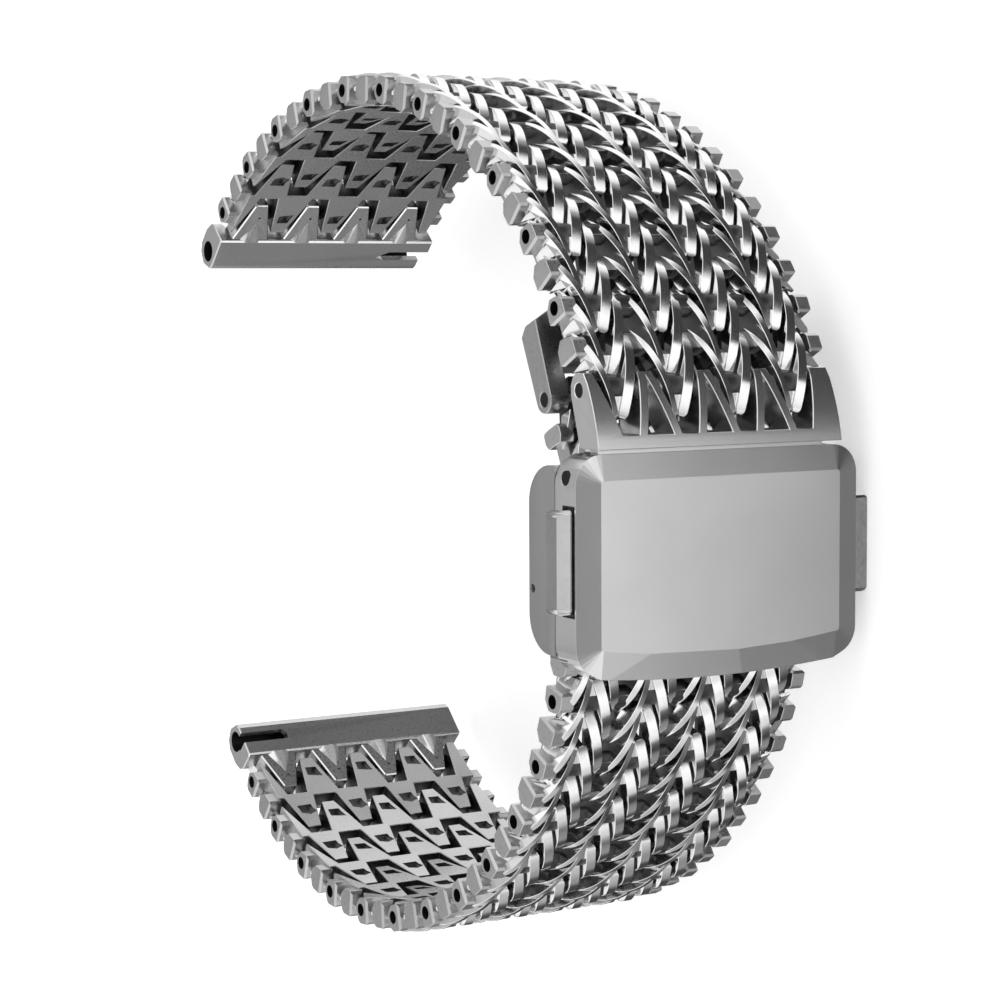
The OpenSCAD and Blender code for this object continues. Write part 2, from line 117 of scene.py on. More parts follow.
# white studio with soft dark flags that polished steel mirrors; angles in degrees round the strap
studio = {
    # brightness near the floor, under the horizon and over it
    "flagBands": [(-180, 0.8), (-162, 0.62), (-146, 0.06), (-118, 0.06), (-102, 0.28), (-88, 0.24), (-74, 0.05),
                  (-44, 0.2), (-30, 0.1), (20, 0.05), (82, 0.05), (92, 0.3), (104, 0.9), (112, 1.1), (150, 1.0),
                  (180, 0.8)],
    "lowBands": [(-180, 0.85), (-150, 0.8), (-104, 0.45), (-70, 0.5), (-54, 0.7), (-42, 1.0), (-24, 1.1),
                 (-12, 0.82), (2, 1.05), (12, 1.1), (120, 1.0), (180, 0.85)],
    "highBands": [(-180, 0.32), (-158, 0.32), (-136, 0.95), (-112, 1.0), (-96, 0.85), (-50, 0.75), (-24, 0.22),
                  (16, 0.2), (36, 1.0), (60, 1.0), (110, 0.9), (150, 0.4), (180, 0.32)],
    # how far down the flags begin, and how soft their edge is
    "flagDepth": [(-180, 0.42), (-66, 0.42), (-50, 0.56), (-32, 0.5), (-17, 0.6), (8, 0.6), (20, 0.54), (31, 0.42),
                  (60, 0.37), (84, 0.24), (120, 0.3), (180, 0.42)],
    "flagBlur": 0.05,
    # from, to, and brightness beyond
    "horizon": (-0.31, -0.19),
    "underFloor": (-0.88, -0.78, 0.22),
    "overhead": (0.61, 0.67, 1.1),
    "zenith": (0.78, 0.9, 0.45),
    "fill": 1.0,
}


def grey(value):
    return value, value, value, 1


# value that turns from 0 to 1 between two marks
def rise(tree, source, marks):
    made = node(tree, "ShaderNodeMapRange", interpolation_type="SMOOTHSTEP")
    made.inputs[1].default_value, made.inputs[2].default_value = marks
    tree.links.new(source, made.inputs[0])
    return made.outputs[0]


def blend(tree, share, first, second):
    made = node(tree, "ShaderNodeMix", data_type="RGBA")
    tree.links.new(share, made.inputs[0])
    for index, value in ((6, first), (7, second)):
        if isinstance(value, (int, float)):
            made.inputs[index].default_value = grey(value)
        else:
            tree.links.new(value, made.inputs[index])
    return made.outputs[2]


def makeWorld(look):
    world = bpy.data.worlds.new("studioWorld")
    bpy.context.scene.world = world
    world.use_nodes = True
    tree = world.node_tree
    tree.nodes.clear()
    place = node(tree, "ShaderNodeTexCoord")
    parts = node(tree, "ShaderNodeSeparateXYZ")
    link(tree, place, "Generated", parts, 0)
    height = parts.outputs[2]
    turn = maths(tree, "ARCTAN2", parts.outputs[1], parts.outputs[0])
    share = maths(tree, "ADD", maths(tree, "DIVIDE", turn, 2 * math.pi), 0.5)
    flags, low, high, depth = [ramp(tree, share, [(angle / 360 + 0.5, value) for angle, value in look[name]])
                               for name in ("flagBands", "lowBands", "highBands", "flagDepth")]
    overFlags = rise(tree, maths(tree, "ADD", height, depth), (-look["flagBlur"], look["flagBlur"]))
    below = blend(tree, rise(tree, height, look["underFloor"][:2]), look["underFloor"][2],
                  blend(tree, overFlags, flags, low))
    sky = blend(tree, rise(tree, height, look["horizon"]), below, high)
    for name in ("overhead", "zenith"):
        sky = blend(tree, rise(tree, height, look[name][:2]), sky, look[name][2])
    reflected = node(tree, "ShaderNodeBackground", Strength=1)
    tree.links.new(sky, reflected.inputs[0])
    plain = node(tree, "ShaderNodeBackground", Color=(1, 1, 1, 1), Strength=look["fill"])
    path = node(tree, "ShaderNodeLightPath")
    choose = node(tree, "ShaderNodeMixShader")
    link(tree, path, "Is Glossy Ray", choose, 0)
    link(tree, plain, 0, choose, 1)
    link(tree, reflected, 0, choose, 2)
    link(tree, choose, 0, node(tree, "ShaderNodeOutputWorld"), 0)


# pale paper; its glow reaches the camera alone, so the shadows stay
paper = {"colour": (0.93, 0.93, 0.93), "glow": 0.34, "reach": 4, "drop": 0.00005}


def makeFloor(look):
    mesh = bpy.data.meshes.new("studioFloor")
    corners = [(x * look["reach"], y * look["reach"], 0) for x, y in ((-1, -1), (1, -1), (1, 1), (-1, 1))]
    mesh.from_pydata(corners, [], [(0, 1, 2, 3)])
    floor = bpy.data.objects.new("studioFloor", mesh)
    floor.location.z = -look["drop"]
    bpy.context.scene.collection.objects.link(floor)
    material = bpy.data.materials.new("floorPaper")
    material.use_nodes = True
    shader = material.node_tree.nodes["Principled BSDF"]
    shader.inputs["Base Color"].default_value = (*look["colour"], 1)
    shader.inputs["Roughness"].default_value = 1
    shader.inputs["Specular IOR Level"].default_value = 0
    shader.inputs["Emission Color"].default_value = (1, 1, 1, 1)
    path = node(material.node_tree, "ShaderNodeLightPath")
    glow = maths(material.node_tree, "MULTIPLY", path.outputs["Is Camera Ray"], look["glow"])
    material.node_tree.links.new(glow, shader.inputs["Emission Strength"])
    mesh.materials.append(material)
    floor.visible_glossy = False


makeWorld(studio)
makeFloor(paper)
print("studio ready")

# tone and its spread, smoothest and roughest spots, size and height of the grain
finishes = {
    "polishedSteel": {"tone": 0.94, "variation": 0.03, "rough": (0.1, 0.16), "grain": 2600, "relief": 0.02},
    "bodySteel": {"tone": 0.58, "variation": 0.05, "rough": (0.26, 0.36), "grain": 4200, "relief": 0.02},
    # near-black tone for the floor between the arms and the walls beside the teeth: painted shade
    "recessPaintedShade": {"tone": 0.1, "variation": 0.03, "rough": (0.35, 0.5), "grain": 1800, "relief": 0.06},
    "webSteel": {"tone": 0.9, "variation": 0.04, "rough": (0.2, 0.28), "grain": 4200, "relief": 0.02},
    # dark grey for the tabs under the arm ends and the walls of the inner wells: painted shade
    "tabPaintedShade": {"tone": 0.3, "variation": 0.05, "rough": (0.28, 0.36), "grain": 2200, "relief": 0.04},
    "barSteel": {"tone": 0.52, "variation": 0.03, "rough": (0.26, 0.34), "grain": 4200, "relief": 0.02},
    # black tone for the walls of the bores and the pin ends in them: painted shade
    "borePaintedShade": {"tone": 0.03, "variation": 0.01, "rough": (0.5, 0.6), "grain": 1800, "relief": 0.03},
    "innerSteel": {"tone": 0.6, "variation": 0.05, "rough": (0.24, 0.36), "grain": 4200, "relief": 0.02},
    # near-black pins, so that their ends in the bores show as shade: painted shade
    "pinPaintedShade": {"tone": 0.05, "variation": 0.05, "rough": (0.3, 0.4), "grain": 2400, "relief": 0.03},
    "satinSteel": {"tone": 0.84, "variation": 0.03, "rough": (0.2, 0.26), "grain": 14000, "relief": 0.025},
    "frameSteel": {"tone": 0.55, "variation": 0.03, "rough": (0.2, 0.26), "grain": 14000, "relief": 0.025},
    "buttonSteel": {"tone": 0.64, "variation": 0.04, "rough": (0.14, 0.2), "grain": 2400, "relief": 0.03},
    "springWire": {"tone": 0.4, "variation": 0.06, "rough": (0.3, 0.42), "grain": 3000, "relief": 0.04},
    "magnetCoat": {"tone": 0.3, "variation": 0.05, "rough": (0.3, 0.4), "grain": 2000, "relief": 0.04},
}

# brighter worn edges: how convex an edge shows wear, its tone and its share
wear = {"convex": (0.53, 0.62), "gain": 1.25, "lift": 0.02, "most": 0.97, "share": 0.5}
# wide patches of lighter and darker metal
clouds = {"size": 160, "span": (0.3, 0.7)}


# steel with a fine grain and slight tone changes
def makeSteel(name, look):
    material = bpy.data.materials.new(name)
    material.use_nodes = True
    tree = material.node_tree
    shader = tree.nodes["Principled BSDF"]
    shader.inputs["Metallic"].default_value = 1
    shader.inputs["IOR"].default_value = 2.5
    place = node(tree, "ShaderNodeTexCoord")
    grain = node(tree, "ShaderNodeTexNoise", Scale=look["grain"], Detail=3, Roughness=0.6)
    patches = node(tree, "ShaderNodeTexNoise", Scale=clouds["size"], Detail=2, Roughness=0.5)
    link(tree, place, "Object", grain, "Vector")
    link(tree, place, "Object", patches, "Vector")
    tones = (look["tone"] - look["variation"], look["tone"] + look["variation"])
    tone = ramp(tree, patches.outputs["Fac"], list(zip(clouds["span"], tones)), "LINEAR")
    shape = node(tree, "ShaderNodeNewGeometry")
    edge = node(tree, "ShaderNodeMapRange")
    edge.inputs[1].default_value, edge.inputs[2].default_value = wear["convex"]
    link(tree, shape, "Pointiness", edge, 0)
    wornTone = min(look["tone"] * wear["gain"] + wear["lift"], wear["most"])
    worn = blend(tree, maths(tree, "MULTIPLY", edge.outputs[0], wear["share"]), tone, wornTone)
    tree.links.new(worn, shader.inputs["Base Color"])
    rough = node(tree, "ShaderNodeMapRange")
    rough.inputs[1].default_value, rough.inputs[2].default_value = clouds["span"]
    rough.inputs[3].default_value, rough.inputs[4].default_value = look["rough"]
    link(tree, grain, "Fac", rough, 0)
    tree.links.new(rough.outputs[0], shader.inputs["Roughness"])
    bump = node(tree, "ShaderNodeBump", Strength=look["relief"], Distance=0.0001)
    link(tree, grain, "Fac", bump, "Height")
    link(tree, bump, 0, shader, "Normal")
    return material


steel = {name: makeSteel(name, look) for name, look in finishes.items()}
print("finishes ready:", len(steel))


# shapes are in millimetres: u along the strap, v outwards, w from the strap's left edge
def newShape():
    return {"points": [], "faces": [], "finish": []}


def addShape(shape, bm, finish=0):
    first = len(shape["points"])
    bm.verts.index_update()
    shape["points"] += [tuple(v.co) for v in bm.verts]
    for k, face in enumerate(bm.faces):
        shape["faces"].append([first + v.index for v in face.verts])
        shape["finish"].append(finish if isinstance(finish, int) else finish[k])
    bm.free()


def breakEdges(bm, edges, width, steps=1):
    return bmesh.ops.bevel(bm, geom=edges, offset=width, segments=steps, profile=0.5, affect="EDGES",
                           clamp_overlap=True)


def softenEdges(bm, width, steps=2, least=30):
    edges = [e for e in bm.edges if len(e.link_faces) == 2 and e.calc_face_angle(0) > math.radians(least)]
    if width:
        breakEdges(bm, edges, width, steps)


# closed outline pushed through along one of the three directions
def addPrism(shape, outline, low, high, along="w", soft=0.0, finish=0, steps=2):
    bm = bmesh.new()
    spots = {"w": lambda a, b, c: (a, b, c), "v": lambda a, b, c: (a, c, b), "u": lambda a, b, c: (c, a, b)}[along]
    lower = [bm.verts.new(spots(a, b, low)) for a, b in outline]
    upper = [bm.verts.new(spots(a, b, high)) for a, b in outline]
    bm.faces.new(lower)
    bm.faces.new(upper)
    for i in range(len(outline)):
        j = (i + 1) % len(outline)
        bm.faces.new((lower[i], lower[j], upper[j], upper[i]))
    bmesh.ops.recalc_face_normals(bm, faces=bm.faces)
    softenEdges(bm, soft, steps)
    addShape(shape, bm, finish)


def addHull(shape, points, soft=0.0, finish=0):
    bm = bmesh.new()
    for point in points:
        bm.verts.new(point)
    found = bmesh.ops.convex_hull(bm, input=bm.verts)
    inner = [v for v in found["geom_interior"] if isinstance(v, bmesh.types.BMVert)]
    bmesh.ops.delete(bm, geom=inner, context="VERTS")
    bmesh.ops.dissolve_limit(bm, angle_limit=math.radians(1), verts=bm.verts, edges=bm.edges)
    bmesh.ops.recalc_face_normals(bm, faces=bm.faces)
    softenEdges(bm, soft)
    addShape(shape, bm, finish)


# rings of equal count joined into a closed skin
def addLoft(shape, rings, finish=0):
    bm = bmesh.new()
    rows = [[bm.verts.new(point) for point in ring] for ring in rings]
    count = len(rows[0])
    for a, b in zip(rows, rows[1:]):
        for i in range(count):
            j = (i + 1) % count
            bm.faces.new((a[i], a[j], b[j], b[i]))
    bm.faces.new(rows[0])
    bm.faces.new(rows[-1])
    bmesh.ops.recalc_face_normals(bm, faces=bm.faces)
    addShape(shape, bm, finish)


def circle(radius, centre=(0, 0), count=28):
    return [(centre[0] + radius * math.cos(2 * math.pi * i / count),
             centre[1] + radius * math.sin(2 * math.pi * i / count)) for i in range(count)]


# one mesh in metres: side is 1 where the outer face looks left of the running direction, -1 where it looks right
def makeMesh(name, shape, width, side, materials):
    mesh = bpy.data.meshes.new(name)
    mesh.from_pydata([(u * mm, side * v * mm, (width - w) * mm) for u, v, w in shape["points"]], [], shape["faces"])
    for material in materials:
        mesh.materials.append(material)
    mesh.polygons.foreach_set("material_index", shape["finish"])
    bm = bmesh.new()
    bm.from_mesh(mesh)
    bmesh.ops.recalc_face_normals(bm, faces=bm.faces)
    bm.to_mesh(mesh)
    bm.free()
    return mesh


# edges stay sharp from this angle on, in degrees, where a facet is meant to show
crisp = 20


def shadeMesh(mesh, angle=38):
    mesh.shade_smooth()
    mesh.set_sharp_from_angle(angle=math.radians(angle))


# a mesh with others cut out of it
def cutMesh(name, mesh, cutters):
    hold = bpy.data.objects.new(name, mesh)
    bpy.context.scene.collection.objects.link(hold)
    tools = []
    for cutter in cutters:
        tool = bpy.data.objects.new(name + "Cutter", cutter)
        bpy.context.scene.collection.objects.link(tool)
        tools.append(tool)
        cut = hold.modifiers.new("cut", "BOOLEAN")
        cut.operation = "DIFFERENCE"
        cut.solver = "EXACT"
        cut.use_self = tool is tools[0]
        cut.object = tool
    graph = bpy.context.evaluated_depsgraph_get()
    made = bpy.data.meshes.new_from_object(hold.evaluated_get(graph))
    for tool in tools + [hold]:
        bpy.data.objects.remove(tool)
    made.name = name
    return made


def addPiece(name, mesh, body, matrix=None, stands=()):
    piece = bpy.data.objects.new(name, mesh)
    bpy.context.scene.collection.objects.link(piece)
    if matrix is not None:
        piece.matrix_world = matrix
    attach(piece, body)
    if stands:
        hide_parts(*stands)
    return piece


# measures of the strap; borders are measured to the columns of teeth
strap = {
    "bodyTop": 0.3,
    "innerDepth": 1.2,
    "leftBorder": 0.41,
    "rightBorder": 1.07,
    "toothTip": 0.62,
    "toothFlare": 0.22,
    # teeth as shares of the hinge spacing: back over the first hinge, their roots, and on over the next hinge
    "toothBack": 0.2,
    "toothRoot": (0.555, 0.63),
    "toothOver": 0.3,
    "softEdge": 0.07,
    "stubOut": 0.9,
    "knuckle": 1.0,
    "knuckleShort": (0.2, 0.12),
    "lastGap": 0.15,
    "knuckleSoft": 0.06,
    "bore": 0.53,
    "columns": 4,
}
past = 1  # cutters run this far past the strap's edges
low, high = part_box("upper_link_05")
strapWidth = round((high.z - low.z) / mm, 3)
strapFloor = low.z
columnPitch = (strapWidth - strap["leftBorder"] - strap["rightBorder"]) / strap["columns"]


def apex(k):
    return strap["leftBorder"] + columnPitch * (k + 0.5)


def crown(k):
    return strap["leftBorder"] + columnPitch * k


def toothHalf(run):
    return strap["toothTip"] + strap["toothFlare"] * run


def crownTeeth(pitch):
    tip, base = -strap["toothBack"] * pitch, strap["toothRoot"][0] * pitch
    wide = toothHalf(base - tip)
    line = [(tip, strap["stubOut"]), (tip, crown(0) + strap["toothTip"]), (base, crown(0) + wide)]
    for k in range(1, strap["columns"]):
        line += [(base, crown(k) - wide), (tip, crown(k) - strap["toothTip"]),
                 (tip, crown(k) + strap["toothTip"]), (base, crown(k) + wide)]
    end = crown(strap["columns"])
    return line + [(base, end - wide), (tip, end - strap["toothTip"]), (tip, strapWidth - strap["stubOut"])]


def apexTeeth(base, tip):
    wide = toothHalf(tip - base)
    line = [(base, strapWidth - strap["stubOut"])]
    for k in reversed(range(strap["columns"])):
        line += [(base, apex(k) + wide), (tip, apex(k) + strap["toothTip"]),
                 (tip, apex(k) - strap["toothTip"]), (base, apex(k) - wide)]
    return line + [(base, strap["stubOut"])]


# V arms: widths, height and lean in degrees, where each starts and stops, and how its ends close
arm = {
    "top": 1.45,
    "foot": 0.15,
    "least": 0.12,
    "broad": 0.78,
    "slim": 0.52,
    "slimLean": (7, -4),
    "leanFrom": 0.38,
    "leanOver": 0.5,
    "span": (-0.195, 0.867),
    "slimEnds": (0.1, -0.46),
    "broadEnds": (-0.42, 0.06),
    "marks": [0, 0.015, 0.04, 0.08, 0.13, 0.19, 0.26, 0.34, 0.42, 0.5, 0.58, 0.66, 0.74, 0.81, 0.87, 0.915, 0.945,
              0.965, 0.98, 0.992, 1],
    "point": 0.08,
    "pointShare": 0.3,
    "roundEnd": 0.4,
    "dip": 0.08,
    "edge": (0.4, 0.035),
}


def archHeight(x, radius):
    return arm["top"] - radius + math.sqrt(max(radius * radius - x * x, 0.01))


# one arched arm with crisp edges: pointed at its upper end, round at its lower end
def addArm(shape, start, end, width, radius, lean=(0, 0), finish=0, last=math.inf):
    run = math.dist(start, end)
    along = ((end[0] - start[0]) / run, (end[1] - start[1]) / run)
    rings = []
    for s in arm["marks"]:
        if start[0] + along[0] * run * s > last:
            break
        opening = math.sin(math.pi / 2 * min(s / arm["pointShare"], 1))
        closing = math.sqrt(max(1 - (1 - min((1 - s) * run / (arm["roundEnd"] * width), 1)) ** 2, 0))
        half = width / 2 * (arm["point"] + (1 - arm["point"]) * opening) * (0.5 + 0.5 * closing)
        top = archHeight((s - 0.5) * run, radius) - arm["dip"] * (1 - closing)
        foot = min(arm["foot"], top - arm["least"])
        corner = min(arm["edge"][0] * half, arm["edge"][1])
        turn = min(max((s - arm["leanFrom"]) / arm["leanOver"], 0), 1)
        tilt = math.tan(math.radians(lean[0] + (lean[1] - lean[0]) * turn))
        across = [(-half, foot), (-half, top - half * tilt - corner), (-half + corner, top - half * tilt),
                  (half - corner, top + half * tilt), (half, top + half * tilt - corner), (half, foot)]
        centre = (start[0] + along[0] * run * s, start[1] + along[1] * run * s)
        rings.append([(centre[0] - along[1] * a, b, centre[1] + along[0] * a) for a, b in across])
    if len(rings) > 2:
        addLoft(shape, rings, finish)


# plates between the arms: share of the arm's run and how far they draw in, and depth under the arms
web = {
    "foot": 0.1,
    "underArm": 0.1,
    "corner": ((0.79, 0), (0.84, 0), (0.9, 0), (0.96, 0)),
    "cornerDrop": 0.28,
    "tab": ((0.03, 0.0), (0.14, 0.0), (0.2, 0.03), (0.235, 0.1), (0.255, 0.22)),
    "tabDrop": 0.3,
}


def addWeb(shape, spots, drop, radius, middle, finish):
    rings = []
    for u, left, right in spots:
        top = archHeight(u - middle, radius) - drop
        rings.append([(u, web["foot"], left), (u, top, left), (u, top, right), (u, web["foot"], right)])
    addLoft(shape, rings, finish)


# one row of V arms over the link, with its plates
def addRow(shape, webs, start, pitch, last):
    begin, stop = [start + share * pitch for share in arm["span"]]
    middle = (begin + stop) / 2
    run = stop - begin
    for k in range(strap["columns"]):
        slim, nextSlim = [(crown(j) + arm["slimEnds"][0], apex(j) + arm["slimEnds"][1]) for j in (k, k + 1)]
        broad = (crown(k + 1) + arm["broadEnds"][0], apex(k) + arm["broadEnds"][1])
        addArm(shape, (begin, slim[0]), (stop, slim[1]), arm["slim"], pitch, arm["slimLean"], 0, last)
        addArm(shape, (begin, broad[0]), (stop, broad[1]), arm["broad"], pitch, (0, 0), 0, last)
        # corner over the lower hinge, and rounded tab under the upper ends, darker than the corner as painted shade
        # under the arms
        spots = [(begin + run * s, slim[0] + (slim[1] - slim[0]) * s,
                  broad[0] + (broad[1] - broad[0]) * s - web["underArm"]) for s, inset in web["corner"]]
        if spots[-1][0] < last:
            addWeb(webs, spots, web["cornerDrop"], pitch, middle, 0)
        if k < strap["columns"] - 1:
            spots = [(begin + run * s, broad[0] + (broad[1] - broad[0]) * s + inset,
                      nextSlim[0] + (nextSlim[1] - nextSlim[0]) * s + web["underArm"] - inset)
                     for s, inset in web["tab"]]
            addWeb(webs, spots, web["tabDrop"], pitch, middle, 1)


# thin sloping plate between an edge stub and the arm beside it, for a link of the given pitch
wedge = {
    "pitch": 6.4,
    "spots": ((0.8, 1.65, 1.02), (1.05, 0.95, 0.68), (1.95, 0.08, 0.25), (2.34, 0.2, 0.27), (2.34, 1.1, 0.64),
              (1.95, 1.98, 1.05)),
    "thick": 0.3,
    "clear": 1.3,
    "soft": 0.02,
}


def addEdgeWedges(shape, pitch, finish):
    scale = pitch / wedge["pitch"]
    # the second wedge stops short of the next link's stub, which turns
    reach = {0: pitch, pitch / 2: pitch / 2 - wedge["clear"]}
    for start in (0, pitch / 2):
        for side in (0, 1):
            points = []
            for u, w, top in wedge["spots"]:
                place = w if side == 0 else strapWidth - w
                along = start + min(u * scale, reach[start])
                points += [(along, top, place), (along, top - wedge["thick"], place)]
            addHull(shape, points, wedge["soft"], finish)


# stubs on the strap's edges; links that lie in the clasp have plainer ones, clear of the push buttons
stub = {
    "seen": [(-0.84, -0.34), (-0.74, 0.4), (-0.5, 0.95), (-0.2, 1.16), (0.98, 1.16), (1.02, -0.9), (0.85, -1.05),
             (-0.2, -0.98)],
    "hidden": [(-0.74, -0.85), (-0.74, 0.85), (-0.3, 1.1), (0.3, 1.1), (0.74, 0.85), (0.74, -0.85), (0.3, -1.1),
               (-0.3, -1.1)],
    "length": 1.15,
    "claspSide": 4,
    "wideBreak": 0.24,
    "fineBreak": 0.05,
    "sharpTurn": 0.9,  # radians
}


# the edges of the clasp-side face are broken widest, and polished
def addStubs(shape, centre, outline, finish):
    for low, high in ((0, stub["length"]), (strapWidth - stub["length"], strapWidth)):
        bm = bmesh.new()
        ends = [[bm.verts.new((centre + a, b, w)) for a, b in outline] for w in (low, high)]
        count = len(ends[0])
        bm.faces.new(ends[0])
        bm.faces.new(ends[1])
        sides = [bm.faces.new((ends[0][i], ends[0][(i + 1) % count], ends[1][(i + 1) % count], ends[1][i]))
                 for i in range(count)]
        bmesh.ops.recalc_face_normals(bm, faces=bm.faces)
        wide = sides[stub["claspSide"]].edges[:]
        bright = set(breakEdges(bm, wide, stub["wideBreak"])["faces"])
        fine = [e for e in bm.edges if e.calc_face_angle(0) > stub["sharpTurn"] and not bright & set(e.link_faces)]
        breakEdges(bm, fine, stub["fineBreak"])
        addShape(shape, bm, [linkParts.index("polishedSteel") if f in bright else finish for f in bm.faces])


def addKnuckles(shape, centre, places, half, finish=0):
    for place in places:
        addPrism(shape, circle(strap["knuckle"], (centre, 0)), place - half, place + half, "w",
                 strap["knuckleSoft"], finish)


# finishes of a link's plate in the order of its slots, three of them dark tones of painted shade, and how its faces
# are told apart
linkParts = ["bodySteel", "recessPaintedShade", "innerSteel", "polishedSteel", "borePaintedShade", "tabPaintedShade"]
tint = {"border": 0.3, "nearBore": 0.02, "upright": 0.5, "innerShare": 0.9, "flat": 0.3, "outerFrom": -0.2,
        "wellBelow": -0.6}

# recesses in the inner face, beside the first and the second hinge: outlines, depths, and how the well narrows
recess = {
    "first": [(0.1, -0.55), (0.14, 0.5), (0.6, 0.55), (1.3, 0.75), (1.2, 0.1), (1.05, -0.65)],
    "second": [(-0.95, -0.7), (-1.0, 0.65), (-0.55, 0.7), (-0.1, 0.95), (0.2, 0.2), (-0.05, -0.55)],
    "above": 0.1,
    "mouth": 0.25,
    "well": 0.5,
    "narrow": (0.95, 0.8),
}


# painted shade: the outer floor between the arms and the upright walls inside the strap are made near black, the
# bore walls black and the walls of the inner wells dark grey, where shade falls; the inner face stays lighter
def tintLink(plate, pitch, side):
    slot = linkParts.index
    border = strap["stubOut"] + tint["border"]
    for face in plate.polygons:
        if face.material_index == slot("polishedSteel"):
            continue
        v = side * face.center.y / mm
        out = side * face.normal.y
        inside = border < strapWidth - face.center.z / mm < strapWidth - border
        spans = [math.hypot(face.center.x / mm - centre, v) for centre in (0, pitch)]
        # painted shade: the walls of the bores are made black
        if min(spans) < strap["bore"] + tint["nearBore"] and abs(face.normal.z) < tint["upright"]:
            face.material_index = slot("borePaintedShade")
        elif v < -strap["innerDepth"] * tint["innerShare"] and out < -tint["flat"]:
            face.material_index = slot("innerSteel")
        elif inside and v > tint["outerFrom"] and out > -tint["flat"]:
            face.material_index = slot("recessPaintedShade")
        elif inside and v < tint["wellBelow"] and out < tint["flat"]:
            face.material_index = slot("tabPaintedShade")
        elif inside and abs(out) < tint["flat"]:
            face.material_index = slot("recessPaintedShade")


# V arms in rows that begin at the given places, with their plates
def makeArmMeshes(name, rows, pitch, side, last=math.inf, hasWedges=False):
    arms, webs = newShape(), newShape()
    for start in rows:
        addRow(arms, webs, start, pitch, last)
    if hasWedges:
        addEdgeWedges(webs, pitch, 0)
    armMesh = makeMesh(name + "Arms", arms, strapWidth, side, [steel["polishedSteel"]])
    shadeMesh(armMesh, crisp)
    webMesh = makeMesh(name + "Webs", webs, strapWidth, side, [steel["webSteel"], steel["tabPaintedShade"]])
    shadeMesh(webMesh)
    return armMesh, webMesh


def makeLinkMeshes(name, pitch, side, isHidden=False, isLast=False):
    last = pitch - strap["knuckle"] - strap["lastGap"] if isLast else math.inf
    depth, over = strap["innerDepth"], strap["toothOver"] * pitch
    firstTeeth = [crown(k) for k in range(1, strap["columns"])]
    secondTeeth = [apex(k) for k in range(strap["columns"])]
    body = newShape()
    addPrism(body, crownTeeth(pitch) + apexTeeth(strap["toothRoot"][1] * pitch, pitch + over), -depth,
             strap["bodyTop"], "v", strap["softEdge"])
    addKnuckles(body, 0, firstTeeth, toothHalf(strap["toothBack"] * pitch) - strap["knuckleShort"][0])
    addKnuckles(body, pitch, secondTeeth, toothHalf(over) - strap["knuckleShort"][1])
    for centre in (0, pitch / 2):
        addStubs(body, centre, stub["hidden" if isHidden else "seen"], 0)
    bores, mouths, wells = newShape(), newShape(), newShape()
    for centre in (0, pitch):
        addPrism(bores, circle(strap["bore"], (centre, 0)), -past, strapWidth + past, "w")
    for centre, places, outline in ((0, firstTeeth, recess["first"]), (pitch, secondTeeth, recess["second"])):
        for place in places:
            mouth = [(centre + a, place + b) for a, b in outline]
            well = [(centre + a * recess["narrow"][0], place + b * recess["narrow"][1]) for a, b in outline]
            addPrism(mouths, mouth, -depth - recess["above"], recess["mouth"] - depth, "v")
            addPrism(wells, well, -depth, recess["well"] - depth, "v")
    solid = makeMesh(name + "Body", body, strapWidth, side, [steel[key] for key in linkParts])
    tools = [makeMesh(name + "Tool", shape, strapWidth, side, [steel["recessPaintedShade"]])
             for shape in (bores, mouths, wells)]
    plate = cutMesh(name + "Plate", solid, tools)
    tintLink(plate, pitch, side)
    shadeMesh(plate, crisp)
    return plate, *makeArmMeshes(name, (0, pitch / 2), pitch, side, last, not isHidden)


# end links: outline of the bar, bores, teeth and their ramps, slots that let the spring bar be drawn back
endLink = {
    "length": {"upper": 4.64, "lower": 4.5},
    "bar": [(-1.55, 0.05), (-1.1, 1.15), (-0.3, 1.62), (1.3, 1.62), (2.2, 1.25), (2.6, 0.6), (2.6, -1.25),
            (2.46, -1.42), (-0.47, -1.42), (-1.05, -1.2)],
    "bore": 0.93,
    "toothBase": 1.84,
    "toothFrom": 2.3,
    "softEdge": 0.1,
    "ramp": [(4.6, 0.05, -1.2), (2.4, -1.15, -1.22), (2.4, -0.35, -1.5), (2.4, 0.6, -1.5), (2.4, 1.1, -1.22),
             (3, 0, -0.9)],
    "dot": {"place": (0.45, 0.15), "radius": 0.12, "sides": 12, "above": 0.1, "below": 0.3},
    "longSlot": [(0.1, -1), (0.1, 4.1), (0.4, 4.4), (0.95, 4.4), (1.15, 4.2), (1.15, -1)],
    "shortSlot": [(0.3, 1), (0.3, -4.6), (0.6, -5.4), (1.25, -4.2), (1.25, 1)],
    "shortLip": [(-2, -0.8), (1.15, -0.8), (1.15, 1), (-2, 1)],
    "slotRuns": {"long": (-2, 0), "short": (-2, 2), "lip": (-2.2, 2.2)},
}
# how the faces of an end link are told apart
endTint = {"nearBore": 1.03, "teethFrom": 2.7, "away": 0.3, "end": 0.95, "square": 0.95, "strapEdge": 0.99,
           "rim": 0.05, "slant": 0.93, "smallArea": 0.000004, "breaksFrom": 2.2, "flat": (-0.6, 0.95, 1.4)}
endParts = ["barSteel"] + linkParts[1:5]


